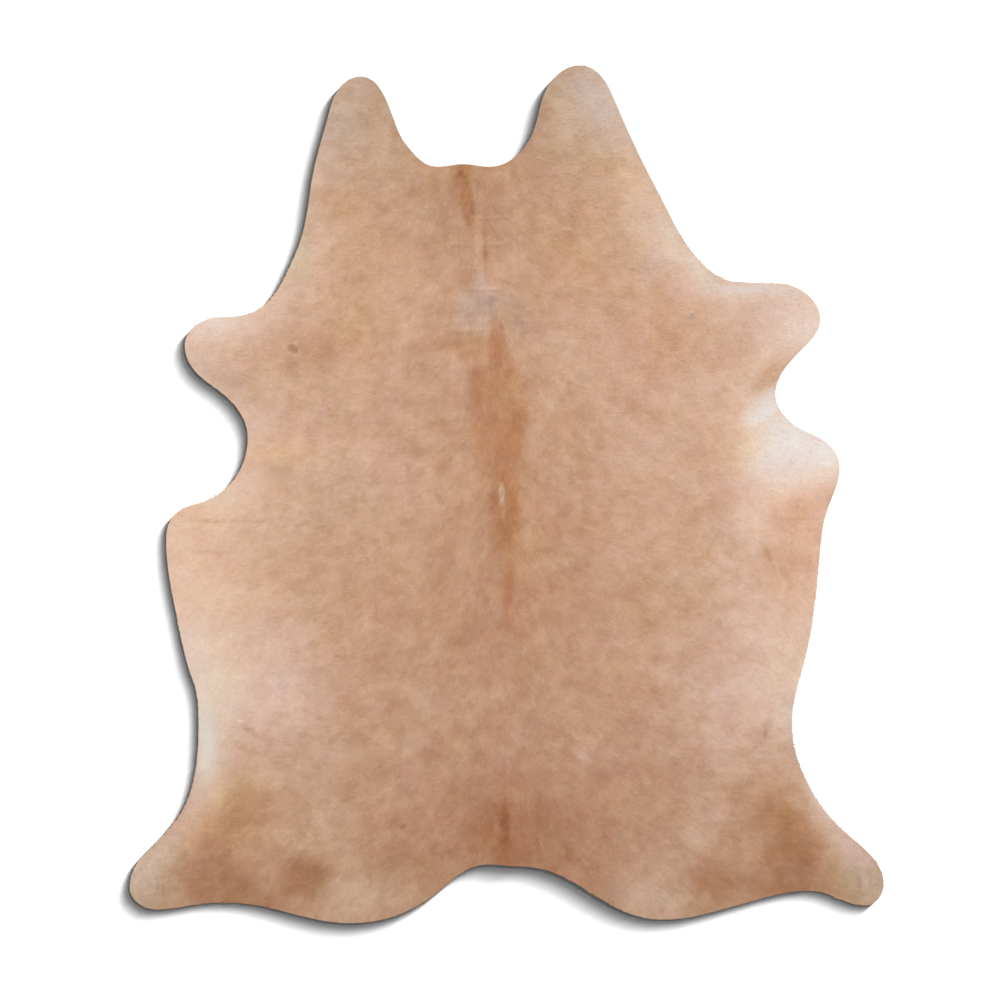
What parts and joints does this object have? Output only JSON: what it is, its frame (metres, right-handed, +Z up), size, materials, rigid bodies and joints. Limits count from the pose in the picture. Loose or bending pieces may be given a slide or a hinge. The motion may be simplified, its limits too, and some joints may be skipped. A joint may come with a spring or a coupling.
{
  "type": "cowhide rug",
  "caption": "Whole tan cowhide with short hair, tanned and laid flat coat side up: one uneven sheet in the animal's outline, with neck flaps, fore and hind leg lobes. It lies on a floor as a rug.",
  "frame": {"origin": "on the flat underside, at the centre of the outline's box", "axes": "+Y runs along the spine from the rump to the neck, +X to the right in the view from above, +Z up out of the coat"},
  "size_m": [1.873, 2.13, 0.0067],
  "materials": {
    "coat": "short lying hair, matt with a faint sheen"
  },
  "bodies": {
    "root": {"hide": "coat"}
  },
  "joints": []
}
